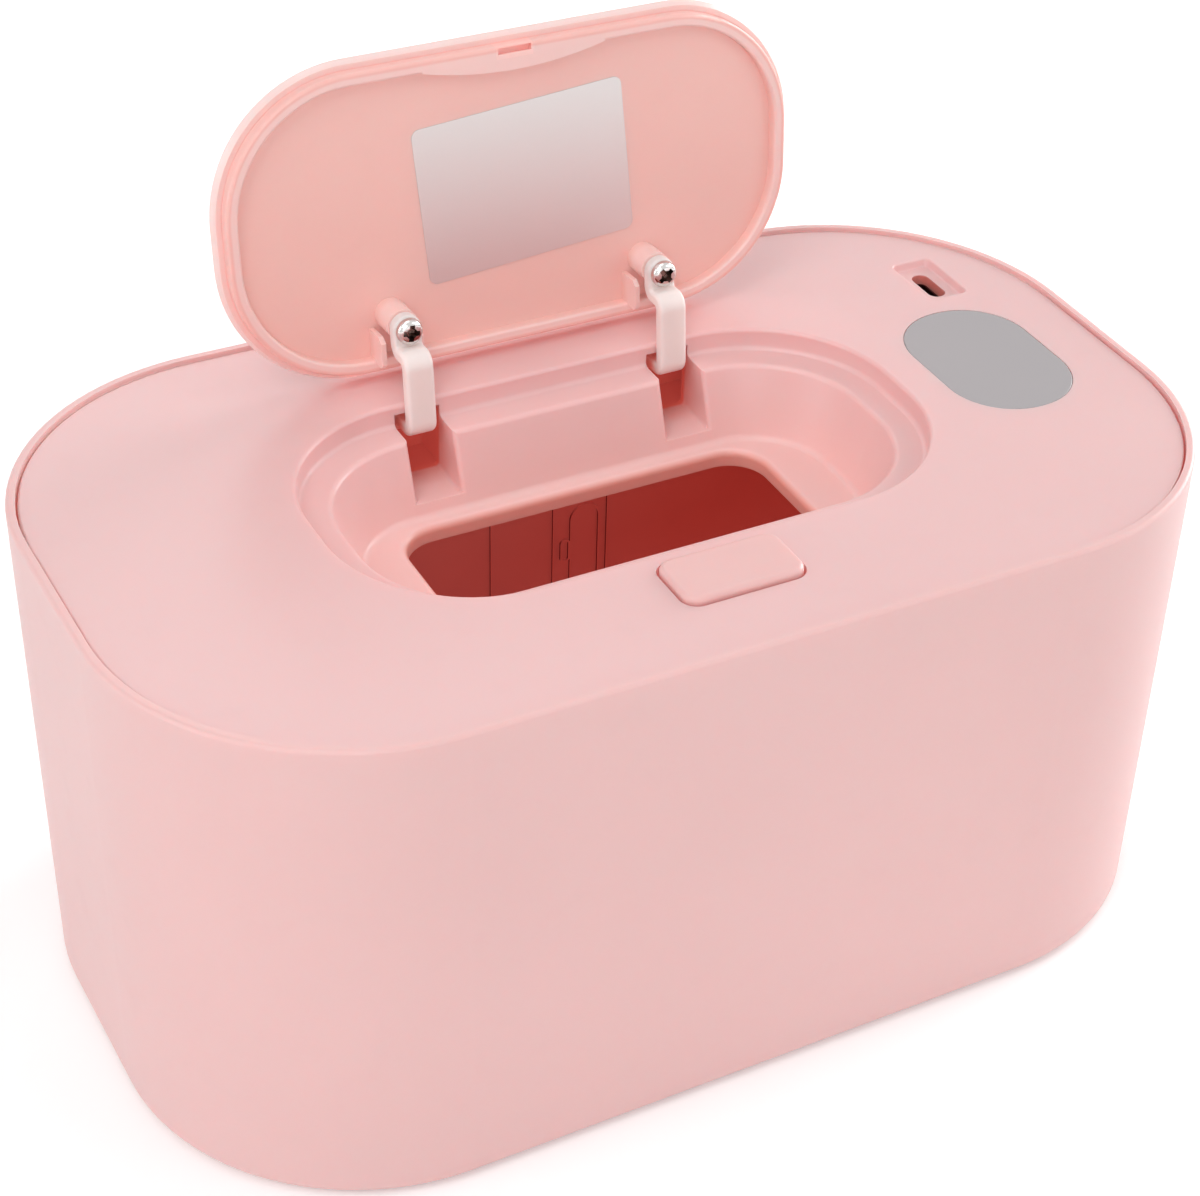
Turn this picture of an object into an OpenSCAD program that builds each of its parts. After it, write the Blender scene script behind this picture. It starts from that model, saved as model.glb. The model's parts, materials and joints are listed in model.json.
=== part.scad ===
// Baby wipe warmer: a tub with an inner tank, a lift-out top cover that carries the heater and the
// electronics, and a sprung flip lid over the dispensing opening. The lid is drawn standing open.
// Millimetres, +Z up, +X to the inlet end, +Y to the hinge side, origin on the table at the centre.

/* [Body] */
// Overall length of the tub
body_l = 220; // [214:1:240]
// Overall width of the tub, front to back
body_w = 130; // [128:1:145]
// Height of the tub's rim above the table
body_h = 105.5; // [90:0.5:130]
// Corner radius of the tub, seen from above
corner_r = 49; // [46:0.5:54]
// Wall of the outer shell
shell_wall = 2.2; // [2:0.1:2.6]
// Floor of the outer shell
shell_floor = 2.4; // [2:0.1:3.5]
// Width of the thin rim that frames the top cover
rim_w = 1.75; // [1.5:0.05:2]
// Height of the rim above the top cover
rim_step = 0.75; // [0.3:0.05:1.2]
// Rounding of the rim and of the cover's edges
edge_r = 0.8; // [0.4:0.1:1]
// Rounding round the bottom of the shell
base_edge_r = 1.5; // [0.8:0.1:2]

/* [Feet and tank] */
// Radius of a rubber foot
foot_r = 5.5; // [4:0.5:6.5]
// How far a foot stands out below the shell
foot_out = 1.2; // [1:0.1:2.5]
// Depth of the pocket that holds a foot
foot_in = 0.9; // [0.5:0.1:1.2]
// Feet: distance from the ends of the tub
foot_inset_x = 26; // [22:1:32]
// Feet: distance from the front and the back
foot_inset_y = 25; // [22:1:30]
// Tank: space between the tub's outside and the tank's outside
tank_inset = 6; // [5.6:0.1:6.5]
// Wall and floor of the inner tank
tank_wall = 1.8; // [1.4:0.1:2]
// Air space between the shell's floor and the tank's floor
tank_raise = 10; // [8:0.5:14]
// Thickness of the tank's flange, on which the top cover sits
flange_t = 2; // [1.5:0.1:3]
// Fillet inside the tank, between its wall and its floor
tank_fillet = 4; // [2:0.5:8]
// Tank screws: distance from the tub's middle, along its length
tank_screw_x = 68; // [60:1:72]
// Tank screws: distance from the tub's middle, front to back
tank_screw_y = 33; // [28:1:36]
// Distance between the drip ribs on the tank's front wall
drip_rib_pitch = 26; // [16:1:40]

/* [Top cover] */
// Gap between the rim and the top cover
seam_gap = 0.35; // [0.2:0.05:0.6]
// Thickness of the cover's top skin
skin_t = 2; // [1.8:0.1:2.4]
// Depth of the skirt, from the cover's top to its seat on the tank
skirt_h = 7; // [6:0.5:9]
// Moulded walls under the cover
wall_t = 1.8; // [1.4:0.1:2.2]
// Cover screws: distance of the corner ones from the tub's ends
cover_screw_end = 40; // [38:0.5:44]
// Cover screws: distance of the corner ones from the tub's sides
cover_screw_side = 23; // [21:0.5:25]

/* [Recess and well] */
// Length of the recess that takes the flip lid
recess_l = 122; // [112:1:124]
// Width of the recess, front to back
recess_w = 64.4; // [60:0.2:66]
// Corner radius of the recess
recess_r = 28.2; // [24:0.2:29.8]
// Depth of the ledge on which the closed lid lies
recess_d = 4.6; // [4.4:0.1:5.2]
// Width of the ledge
ledge_w = 6.2; // [5.6:0.1:6.4]
// Fillet between the recess's wall and its ledge
recess_fillet = 1; // [0.4:0.1:1.4]
// Rounding of the ledge's edge, above the well
ledge_edge_r = 1.2; // [0.6:0.1:1.6]
// Depth of the well's floor below the cover's top
well_d = 19; // [18:0.5:22]
// How far the well's sloping wall runs in from the ledge to the floor
well_slope = 5.2; // [4:0.2:6]
// Fillet between the well's wall and its floor
well_fillet = 1.6; // [0.8:0.2:3]
// Length of the dispensing opening
opening_l = 77.4; // [60:0.2:86]
// Width of the dispensing opening
opening_w = 35.6; // [28:0.2:37]
// Corner radius of the dispensing opening
opening_r = 7.8; // [5:0.2:12]
// Height of the collar that hangs round the opening
lip_h = 3.5; // [3.4:0.1:4.4]
// Rounding of the opening's upper edge
lip_r = 1.5; // [1:0.1:1.7]

/* [Flip lid] */
// Gap between the lid and the recess
lid_gap = 0.6; // [0.5:0.05:1]
// Thickness of the lid's plate
lid_t = 2; // [1.8:0.1:2.1]
// Width of the plain band outside the lid's inner rim
lid_band = 1.8; // [1.6:0.1:2.4]
// Width of the lid's inner rim
lid_rim_w = 2.4; // [2:0.1:3]
// Gap between the closed lid's rim and the ledge
lid_rest_gap = 0.2; // [0.1:0.05:0.3]
// Angle through which the lid opens
open_angle = 95; // [90:1:97]
// Half length of the crescent at the lid's front, where the latch catches
crescent_half = 18.7; // [12:0.5:24]
// How far the crescent stands in from the rim
crescent_rise = 2.3; // [1.5:0.1:3]

/* [Hinge] */
// Distance of each hinge arm from the middle
arm_x = 27.2; // [24:0.2:30]
// Width of a hinge arm
arm_w = 5.8; // [5:0.2:6.4]
// Thickness of a hinge arm
arm_t = 2.7; // [2.2:0.1:3]
// Rounding of a hinge arm's edges
arm_edge_r = 0.8; // [0.3:0.1:1]
// Bend radius of a hinge arm's middle line
arm_bend_r = 1.8; // [1.6:0.1:1.9]
// Width of the slot in which an arm moves
slot_w = 9.4; // [8.8:0.1:10]
// Rounding of the slot's lower corners
slot_corner_r = 0.8; // [0.3:0.1:1]
// Rounding of the slot's edges in the well's wall
slot_edge_r = 0.9; // [0.4:0.1:1.2]
// How much wider and deeper than its slot a hinge pocket is
pocket_step = 0.5; // [0.3:0.1:0.8]
// Space between a closed arm and the floor of its slot
slot_room = 0.45; // [0.3:0.05:1]
// Hinge axis: distance behind the recess's back wall
axis_back = 6.4; // [6.3:0.05:6.8]
// Hinge axis: depth below the cover's top
axis_d = 6; // [5.8:0.1:6.1]
// Space between an open arm and the recess's back wall, on the level of the hinge axis
arm_room = 0.65; // [0.6:0.05:0.8]
// Radius of the arm's barrel
barrel_r = 3; // [2.6:0.1:3.2]
// Radius of a hinge pin
hinge_pin_r = 1.25; // [1:0.05:1.5]
// Arm screws: distance in front of the lid's back edge
arm_screw_back = 12.4; // [11:0.1:14]
// Arm shoulder: distance in front of the hinge axis on the closed lid
shoulder_fwd = 16.2; // [15:0.1:17]
// Height of the lid's screw bosses
boss_h = 6.2; // [5.6:0.1:6.4]
// Radius of the lid's screw bosses
boss_r = 3.1; // [2.8:0.1:3.4]
// Height of the fins beside each arm's tab
fin_h = 5.8; // [4:0.1:6.2]
// Fins: distance behind the middle of the boss at which they start
fin_back = 2.4; // [1:0.1:3]

/* [Button and latch] */
// Length of the release button
button_l = 24.4; // [20:0.2:26]
// Width of the release button, front to back
button_w = 13.4; // [11:0.2:13.6]
// Corner radius of the release button
button_r = 3; // [2:0.1:5]
// Release button: distance of its middle from the tub's middle
button_y = 42.3; // [42:0.1:44]
// How far the button stands above the cover
button_proud = 1.3; // [0.8:0.1:1.6]
// Rounding of the button's upper edge
button_edge_r = 1; // [0.4:0.1:1.2]
// Gap round the button
button_gap = 0.5; // [0.3:0.05:0.6]
// Travel of the button
button_travel = 1.3; // [1:0.05:1.4]
// Latch pivot: distance in front of the well's mouth
latch_fwd = 4.2; // [4:0.1:4.6]
// Latch pivot: depth below the cover's top
latch_d = 8.9; // [8.8:0.1:9.4]
// Length of the latch's arm, from its pivot to where the button presses
latch_arm = 13; // [12:0.1:14]
// Width of the latch's hook
hook_w = 6.2; // [4:0.1:6.6]

/* [Display and inlet] */
// Display window: width along the tub
window_l = 26.6; // [22:0.2:27]
// Display window: length front to back
window_w = 39; // [34:0.5:40]
// Display window: distance of its middle from the tub's end
window_inset = 27.4; // [26:0.2:28]
// Thickness of the display window
window_t = 1.2; // [0.8:0.1:1.4]
// Inlet recess: size along the tub
inlet_l = 9.2; // [8:0.1:10]
// Inlet recess: size front to back
inlet_w = 15.6; // [13:0.1:16]
// Inlet recess: depth
inlet_d = 1.7; // [1.2:0.1:2]
// Inlet: distance of its middle from the tub's end
inlet_inset = 20.6; // [20:0.1:22]
// Inlet: distance of its middle from the tub's back
inlet_back = 32.8; // [31.5:0.1:34]
// Depth of the inlet's hole, from the recess's floor to the socket's mouth
inlet_hole_d = 2.4; // [1.5:0.1:2.8]

/* [Under cover and heater] */
// Space between the tub's outside and the under cover's wall
tray_inset = 8.6; // [8.5:0.1:9.4]
// Wall and floor of the under cover
tray_wall = 1.6; // [1.2:0.1:2]
// Depth of the under cover's floor, its upper face, below the cover's top
tray_d = 21.1; // [20.9:0.1:23]
// Heat spreader: distance from the tub's ends
spreader_end = 30; // [28:1:40]
// Heat spreader: distance from the tub's sides
spreader_side = 29; // [28.5:0.5:33]
// Corner radius of the heat spreader
spreader_r = 20; // [12:1:20]
// Thickness of the heat spreader
spreader_t = 0.8; // [0.5:0.1:1.5]
// Thickness of the heater film
film_t = 0.4; // [0.2:0.1:0.6]
// Depth of the control board's upper face below the cover's top
board_d = 9.5; // [9:0.5:11]
// Thickness of the control board
board_t = 1.6; // [1:0.2:1.6]

/* [Hidden] */
$fn = 96;

// Colours
pink = [0.95, 0.76, 0.75];
pink_tank = [0.90, 0.55, 0.53];
nylon = [0.96, 0.90, 0.87];
steel = [0.78, 0.78, 0.80];

// Small clearances and amounts that the pieces share
fit = 0.3;            // between pieces that stand side by side
bore_fit = 0.05;      // radial clearance of a pin or a screw in its hole
cut = 1;              // how far a cutting shape runs past the surface it cuts

// Heights
shell_z = foot_out;
floor_z = shell_z + shell_floor;
tank_z = floor_z + tank_raise;
top_z = body_h - rim_step;
seat_z = top_z - skirt_h;

// Outlines, each a length, a width and a corner radius
function inset(o, d) = [o[0] - 2 * d, o[1] - 2 * d, o[2] - d];
shell = [body_l, body_w, corner_r];
cover = inset(shell, rim_w + seam_gap);
tank = inset(shell, tank_inset);
tray = inset(shell, tray_inset);
recess = [recess_l, recess_w, recess_r];
mouth = inset(recess, ledge_w);
opening = [opening_l, opening_w, opening_r];
lid = inset(recess, lid_gap);
window = [window_l, window_w, window_l / 2 - 0.4];
inlet = [inlet_l, inlet_w, 1.4];
socket = [3.3, 9, 1.6];
button = [button_l, button_w, button_r];
spreader = [body_l - 2 * spreader_end, body_w - 2 * spreader_side, spreader_r];

// Cover
ledge_t = wall_t;
skirt_t = wall_t;
tray_top = -tray_d;
tray_bottom = tray_top - tray_wall;
cover_boss_r = 3.4;
cover_screw_r = 1.3;
cover_screw_l = 9;
cover_screw_x = body_l / 2 - cover_screw_end;
cover_screw_y = body_w / 2 - cover_screw_side;
mid_screw_inset = tray_inset + tray_wall + cover_boss_r + 1.9;
cover_screw_at = concat(
  [for (sx = [-1, 1], sy = [-1, 1]) [sx * cover_screw_x, sy * cover_screw_y]],
  [[0, body_w / 2 - mid_screw_inset], [mid_screw_inset - body_l / 2, 0]]
);

// Hinge, in the closed lid's own frame, whose height 0 is the cover's top
axis_y = recess_w / 2 + axis_back;
axis_z = -axis_d;
arm_drop = axis_back + arm_room + arm_t;
slot_d = axis_d + arm_drop + slot_room;
pocket_back = axis_y + barrel_r + 0.6;
spring_room = 5.2;
pin_from = arm_x - slot_w / 2 - pocket_step - wall_t + 0.5;
pin_to = arm_x + slot_w / 2 + spring_room + wall_t - 0.5;
well_lean = atan(well_slope / (well_d - recess_d));
lid_rim_z = -recess_d + lid_rest_gap;
screw_y = lid[1] / 2 - arm_screw_back;
tab_z = -lid_t - boss_h;
leg_z = axis_z - arm_drop + arm_t / 2;
shoulder_y = axis_y - shoulder_fwd + arm_t / 2;
arm_screw_r = 1.25;
screw_head_r = 2.65;
screw_head_h = 1.9;

// Latch
latch_y = -mouth[1] / 2 - latch_fwd;
latch_z = -latch_d;
latch_pin_r = 1;
latch_barrel_r = 2.1;
latch_half = 5;
lever_top = latch_z + 1.9;
lever_t = 1.8;
press_y = latch_y - latch_arm;
blade_y = latch_y + 1.8;
blade_t = 0.5;
hook_out = 0.45;
slit_y = blade_y - blade_t - 0.65;
hook_z = lid_rim_z + 0.5;
hook_h = 0.4;
pressed_spring_l = 6.5;
spring_floor = lever_top - lever_t - button_travel - pressed_spring_l;
button_flange = 1;

// Electronics, seen from the display's middle
window_x = body_l / 2 - window_inset;
inlet_x = body_l / 2 - inlet_inset;
inlet_y = body_w / 2 - inlet_back;
board_z = -board_d;
board_in = 15.5;
board_out = 15;
board_half = 24.5;
post_in = 13;
post_out = 12;
post_y = 21.5;
post_r = 2.2;
post_hole_r = 0.95;
post_screw_l = 4.5;
board_post_at = [[window_x - post_in, post_y], [window_x - post_in, -post_y], [window_x + post_out, -post_y]];
lead_x = window_x - post_out;
lead_at = [7, 9];
lead_r = 0.7;
display_l = 18;
display_w = 26;
display_y = 2.5;
screen_edge = 1.5;
touch_at = [window_x, -15];

// Rounded rectangle
module plan(o) {
  l = o[0];
  w = o[1];
  r = o[2];
  square([l - 2 * r, w], center = true);
  square([l, w - 2 * r], center = true);
  for (sx = [-1, 1], sy = [-1, 1])
    translate([sx * (l / 2 - r), sy * (w / 2 - r)]) circle(r);
}

// Rounded rectangle between two heights
module slab(o, z0, z1) {
  translate([0, 0, z0]) linear_extrude(z1 - z0) plan(o);
}

// Carries a profile round a rounded rectangle. In the profile, x is the distance out from the
// outline and y is the height.
module around(o) {
  l = o[0];
  w = o[1];
  r = o[2];
  for (q = [0:3])
    translate([(q == 0 || q == 3 ? 1 : -1) * (l / 2 - r), (q < 2 ? 1 : -1) * (w / 2 - r), 0])
      rotate([0, 0, 90 * q]) rotate_extrude(angle = 90) translate([r, 0]) children();
  for (side = [0, 180]) rotate([0, 0, side]) {
    translate([0, w / 2, 0]) rotate([90, 0, 90]) linear_extrude(l - 2 * r, center = true) children();
    translate([l / 2, 0, 0]) rotate([90, 0, 0]) linear_extrude(w - 2 * r, center = true) children();
  }
}

// Upright rectangle for a profile, given by its two corners
module bar(x0, z0, x1, z1) {
  translate([x0, z0]) square([x1 - x0, z1 - z0]);
}

// Distance from a corner to where a rounding of radius r touches its level side, where the other
// side leans from the upright by an angle
function touch(r, lean) = r * (1 - sin(lean)) / cos(lean);

// The part of a profile that lies outside a rounding of radius r, whose corner is at the origin
// and whose solid is towards +x and -y. The side below the corner may lean towards -x.
module spare_corner(r, lean = 0) {
  mid = touch(r, lean);
  foot = [mid - r * cos(lean), r * sin(lean) - r];
  difference() {
    polygon([foot, [foot[0] - cut, foot[1]], [foot[0] - cut, cut], [mid, cut], [mid, -r]]);
    translate([mid, -r]) circle(r);
  }
}

// Rounds the upper outside edge of a slab of outline o, whose top is at height z
module round_outer(o, r, z) {
  around(o) translate([0, z]) mirror([1, 0]) spare_corner(r);
}

// Rounds the upper edge of a hole of outline o, whose top is at height z
module round_inner(o, r, z, lean = 0) {
  around(o) translate([0, z]) spare_corner(r, lean);
}

// Solid with a rounded rectangle at its top and sloping walls, narrower by slope at its bottom,
// whose lower edge is rounded
module tub(o, slope, z0, z1, edge) {
  lean = atan(slope / (z1 - z0));
  foot = inset(o, slope);
  mid = touch(edge, lean);
  lap = 0.2;
  slab(inset(foot, mid), z0, z1);
  around(foot) {
    translate([-mid, z0 + edge]) circle(edge);
    polygon([[-mid - lap, z0 + edge], [edge * cos(lean) - mid, z0 + edge - edge * sin(lean)],
             [slope, z1], [-mid - lap, z1]]);
  }
}

// Block given by its two corners
module block(a, b) {
  translate(a) cube(b - a);
}

// Upright round bar between two heights
module upright(at, r, z0, z1) {
  translate([at[0], at[1], z0]) cylinder(r = r, h = z1 - z0);
}

// Round bar along X
module x_rod(r, x0, x1, y, z) {
  translate([x0, y, z]) rotate([0, 90, 0]) cylinder(r = r, h = x1 - x0);
}

// Pan-head screw with a cross recess; its head's seat is at the origin and its shank runs up
module screw(head_r, head_h, shank_r, shank_l) {
  dome = (head_r * head_r + head_h * head_h) / (2 * head_h) + 0.6;
  difference() {
    rotate([180, 0, 0]) rotate_extrude() intersection() {
      square([head_r, head_h]);
      translate([0, head_h - dome]) circle(dome);
    }
    for (turn = [0, 90]) rotate([0, 0, turn])
      block([-head_r * 0.6, -head_r * 0.14, -head_h - cut], [head_r * 0.6, head_r * 0.14, -head_h * 0.4]);
  }
  cylinder(r = shank_r, h = shank_l);
}

// Round wire wound on a cylinder along +Z, its middle line from 0 to length, with a straight leg
// before its start and after its end
module coil(r, wire, turns, length, legs = [0, 0], sides = 6, steps = 16) {
  n = round(turns * steps);
  ahead = concat([-legs[0]], [for (i = [0:n]) 0], [legs[1]]);
  first = legs[0] > 0 ? 0 : 1;
  last = legs[1] > 0 ? n + 2 : n + 1;
  count = last - first;
  points = [for (j = [first:last], k = [0:sides - 1])
    let (i = min(max(j - 1, 0), n), a = 360 * i / steps, b = 360 * k / sides, q = r + wire / 2 * cos(b))
    [q * cos(a) - ahead[j] * sin(a), q * sin(a) + ahead[j] * cos(a), length * i / n + wire / 2 * sin(b)]];
  walls = [for (i = [0:count - 1], k = [0:sides - 1])
    [i * sides + k, i * sides + (k + 1) % sides, (i + 1) * sides + (k + 1) % sides, (i + 1) * sides + k]];
  start = [[for (k = [sides - 1:-1:0]) k]];
  end = [[for (k = [0:sides - 1]) count * sides + k]];
  polyhedron(points, concat(walls, start, end));
}

// Places what is drawn in the closed lid's frame at the lid's open position
module opened() {
  translate([0, axis_y, top_z + axis_z]) rotate([-open_angle, 0, 0])
    translate([0, -axis_y, -axis_z]) children();
}

// Places what is drawn below the cover's top
module at_top() {
  translate([0, 0, top_z]) children();
}

// Base

module at_tank_screws() {
  for (sx = [-1, 1], sy = [-1, 1]) translate([sx * tank_screw_x, sy * tank_screw_y, 0]) children();
}

screw_seat_z = floor_z + 0.6;
tank_boss_z = floor_z + 4;
rib_gap = 12;
back_rib_x = [0, 14.9, 28];
arch_at = [22.5, 21];
ring_at = [17.75, 13.6];

module outer_shell() {
  rib_t = 1.6;
  rib_in = tank_inset - fit - shell_wall;
  color(pink) difference() {
    union() {
      around(shell) {
        bar(-shell_wall, shell_z, 0, seat_z - flange_t);
        bar(-rim_w, seat_z - flange_t - cut, 0, body_h);
      }
      slab(shell, shell_z, floor_z);
      at_tank_screws() translate([0, 0, shell_z]) cylinder(r = 4.6, h = tank_boss_z - shell_z);
      for (side = [0, 180]) rotate([0, 0, side]) {
        for (x = [-1, 0, 1] * body_l / 4)
          block([x - rib_t / 2, body_w / 2 - shell_wall - rib_in, floor_z],
                [x + rib_t / 2, body_w / 2 - shell_wall / 2, seat_z - flange_t]);
        for (y = [-1, 1] * (body_w / 2 - corner_r) * 0.6)
          block([body_l / 2 - shell_wall - rib_in, y - rib_t / 2, floor_z],
                [body_l / 2 - shell_wall / 2, y + rib_t / 2, seat_z - flange_t]);
      }
    }
    round_outer(shell, edge_r, body_h);
    translate([0, 0, shell_z]) mirror([0, 0, 1]) round_outer(shell, base_edge_r, 0);
    at_tank_screws() {
      translate([0, 0, -cut]) cylinder(r = screw_head_r + 0.5, h = screw_seat_z + cut);
      translate([0, 0, -cut]) cylinder(r = 1.7, h = tank_boss_z + 2 * cut);
    }
    for (sx = [-1, 1], sy = [-1, 1]) at_foot(sx, sy)
      translate([0, 0, shell_z - cut]) cylinder(r = foot_r + 0.1, h = foot_in + cut);
  }
}

// Shallow ribs on the tank's back wall, in rounded lines: three upright ones, an arch, a ring
module back_ribs(height) {
  line = 0.5;
  arch_r = 3.65;
  ring = [2.4, 5.9, 1.1];
  for (x = back_rib_x) bar(x - line / 2, 0, x + line / 2, height);
  translate([arch_at[0], 0]) difference() {
    arch(arch_r, 0);
    arch(arch_r - line, -cut);
  }
  translate(ring_at) difference() {
    plan(ring);
    plan(inset(ring, line));
  }
}

// Upright strip with a round top
module arch(r, foot) {
  bar(-r, foot, r, arch_at[1]);
  translate([0, arch_at[1]]) circle(r);
}

module inner_tank() {
  floor_top = tank_z + tank_wall;
  rib_count = floor((tank[0] / 2 - tank[2]) / drip_rib_pitch);
  color(pink_tank) difference() {
    union() {
      around(tank) {
        bar(-tank_wall, tank_z, 0, seat_z);
        bar(-tank_wall, seat_z - flange_t, tank_inset - rim_w - fit, seat_z);
        translate([-tank_wall, floor_top]) difference() {
          translate([-tank_fillet, -0.1]) square([tank_fillet + 0.1, tank_fillet + 0.1]);
          translate([-tank_fillet, tank_fillet]) circle(tank_fillet);
        }
      }
      slab(inset(tank, tank_wall / 2), tank_z, floor_top);
      at_tank_screws() translate([0, 0, tank_boss_z]) cylinder(r = 3.6, h = tank_z - tank_boss_z + 0.1);
      for (i = [-rib_count:rib_count])
        translate([i * drip_rib_pitch, tank_wall - tank[1] / 2, floor_top])
          block([-0.5, -0.7, rib_gap], [0.5, 0.7, seat_z - floor_top - rib_gap]);
      translate([0, tank[1] / 2 - tank_wall + 0.2, floor_top + rib_gap]) rotate([90, 0, 0])
        linear_extrude(0.7) back_ribs(seat_z - floor_top - 2 * rib_gap);
    }
    at_tank_screws() translate([0, 0, tank_boss_z - cut]) cylinder(r = 1.5, h = tank_z - tank_boss_z);
  }
}

module tank_screws() {
  color(steel) at_tank_screws() translate([0, 0, screw_seat_z])
    screw(screw_head_r, screw_head_h, 1.5 - bore_fit, tank_z - screw_seat_z - 1.6);
}

module at_foot(sx, sy) {
  translate([sx * (body_l / 2 - foot_inset_x), sy * (body_w / 2 - foot_inset_y), 0]) children();
}

module foot(sx, sy) {
  edge = 0.4;
  color([0.86, 0.86, 0.86]) at_foot(sx, sy)
    rotate_extrude() {
      square([foot_r - edge, foot_out + foot_in]);
      translate([0, edge]) square([foot_r, foot_out + foot_in - edge]);
      translate([foot_r - edge, edge]) circle(edge);
    }
}

// Top cover

// Hinge box for the arm on side s: its outside, before the slot is cut into it
module hinge_box(s) {
  side_wall = wall_t - 0.2;
  inner = arm_x - slot_w / 2 - pocket_step - side_wall;
  outer = arm_x + slot_w / 2 + side_wall;
  bottom = -slot_d - pocket_step - wall_t;
  mirror([s < 0 ? 1 : 0, 0, 0]) {
    block([inner, mouth[1] / 2 - well_slope - cut, bottom],
          [outer, recess_w / 2 + wall_t, -recess_d - ledge_t / 2]);
    block([inner, recess_w / 2, bottom],
          [outer + spring_room, pocket_back + side_wall, -skin_t / 2]);
  }
}

// The space inside a hinge box: the slot through the ledge and under the skin, whose edges in the
// well's wall are rounded, and the larger pocket behind it
module hinge_space(s) {
  from_y = mouth[1] / 2 - well_slope - 2 * cut;
  to_y = recess_w / 2 + wall_t + cut;
  edge_l = (slot_d - recess_d) / cos(well_lean) + cut;
  mirror([s < 0 ? 1 : 0, 0, 0]) {
    translate([arm_x, to_y, 0]) rotate([90, 0, 0]) linear_extrude(to_y - from_y) {
      bar(-slot_w / 2, slot_corner_r - slot_d, slot_w / 2, -skin_t);
      bar(slot_corner_r - slot_w / 2, -slot_d, slot_w / 2 - slot_corner_r, -skin_t);
      for (side = [-1, 1])
        translate([side * (slot_w / 2 - slot_corner_r), slot_corner_r - slot_d]) circle(slot_corner_r);
    }
    intersection() {
      for (side = [0, 1])
        translate([arm_x, mouth[1] / 2, -recess_d]) mirror([side, 0, 0]) translate([slot_w / 2, 0, 0])
          rotate([-well_lean, 0, 0]) translate([0, 0, -edge_l])
            linear_extrude(edge_l + cut) mirror([0, 1]) spare_corner(slot_edge_r);
      block([arm_x - slot_w, 0, -slot_d], [arm_x + slot_w, recess_w / 2, 0]);
    }
    block([arm_x - slot_w / 2 - pocket_step, recess_w / 2 + wall_t, -slot_d - pocket_step],
          [arm_x + slot_w / 2 + spring_room, pocket_back, -skin_t]);
    x_rod(hinge_pin_r + 0.02, pin_from - cut, pin_to + cut, axis_y, axis_z);
  }
}

// Bracket that carries the latch and its spring, under the front of the ledge
module latch_bracket() {
  cheek = latch_half + 0.4;
  for (s = [-1, 1])
    block([s > 0 ? cheek : -cheek - 1.6, press_y - 3.8, spring_floor - 1.6],
          [s > 0 ? cheek + 1.6 : -cheek, -mouth[1] / 2 + well_slope, -recess_d - ledge_t + 0.2]);
  block([-cheek - 0.1, press_y - 3.8, spring_floor - 1.6], [cheek + 0.1, latch_y, spring_floor]);
}

module button_hole() {
  translate([0, -button_y, 0]) children();
}

module top_cover() {
  color(pink) at_top() difference() {
    union() {
      slab(cover, -skin_t, 0);
      around(cover) bar(-skirt_t, -skirt_h, 0, -skin_t / 2);
      around(recess) bar(0, -recess_d - ledge_t, wall_t, -skin_t / 2);
      slab(inset(recess, -wall_t / 2), -recess_d - ledge_t, recess_fillet - recess_d);
      tub(inset(mouth, -wall_t), well_slope, -well_d - wall_t, -recess_d - ledge_t / 2, well_fillet + wall_t);
      slab(inset(opening, -wall_t), -well_d - lip_h, -well_d);
      for (s = [-1, 1]) hinge_box(s);
      for (at = cover_screw_at) upright(at, cover_boss_r, tray_top, -skin_t / 2);
      for (at = board_post_at) upright(at, post_r, board_z, -skin_t / 2);
      translate([inlet_x, inlet_y, 0]) slab(inset(inlet, -wall_t), -inlet_d - inlet_hole_d, -skin_t / 2);
      latch_bracket();
    }
    round_outer(cover, edge_r / 2, 0);
    tub(recess, 0, -recess_d, cut, recess_fillet);
    round_inner(recess, edge_r, 0);
    tub(mouth, well_slope, -well_d, -recess_d + 0.01, well_fillet);
    round_inner(mouth, ledge_edge_r, -recess_d, well_lean);
    slab(opening, -well_d - lip_h - cut, -well_d + cut);
    round_inner(opening, lip_r, -well_d);
    for (s = [-1, 1]) hinge_space(s);
    for (at = cover_screw_at) upright(at, cover_screw_r, tray_top - cut, tray_top + cover_screw_l);
    for (at = board_post_at) upright(at, post_hole_r, board_z - cut, board_z + post_screw_l + 1);
    translate([inlet_x, inlet_y, 0]) {
      tub(inlet, inlet_d * 0.3, -inlet_d, 0.01, 0.5);
      round_inner(inlet, edge_r / 2, 0, atan(0.3));
      slab(inset(socket, -fit), -inlet_d - inlet_hole_d - cut, cut);
    }
    translate([window_x, 0, 0]) {
      slab(inset(window, -0.1), -window_t, cut);
      slab(inset(window, 1.8), -skin_t - cut, cut);
    }
    button_hole() slab(inset(button, -button_gap), -skin_t - cut, cut);
    block([-hook_w / 2 - 0.5, slit_y, -recess_d - ledge_t - cut],
          [hook_w / 2 + 0.5, blade_y + hook_out + 0.2, -recess_d + cut]);
    x_rod(latch_pin_r + 0.02, -latch_half - 3, latch_half + 3, latch_y, latch_z);
  }
}

module under_cover() {
  flange_out = tray_inset - rim_w - seam_gap - skirt_t - fit;
  color([0.93, 0.91, 0.90]) at_top() difference() {
    union() {
      around(tray) {
        bar(-tray_wall, tray_bottom, 0, -skirt_h + tray_wall);
        bar(-tray_wall, -skirt_h, flange_out, -skirt_h + tray_wall);
      }
      slab(inset(tray, tray_wall / 2), tray_bottom, tray_top);
    }
    slab(inset(opening, -wall_t - fit), tray_bottom - cut, tray_top + cut);
    for (at = cover_screw_at) upright(at, cover_screw_r + fit, tray_bottom - cut, tray_top + cut);
    for (side = [-1, 1], y = lead_at)
      upright([lead_x, side * y], lead_r + 0.2, tray_bottom - cut, tray_top + cut);
  }
}

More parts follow.
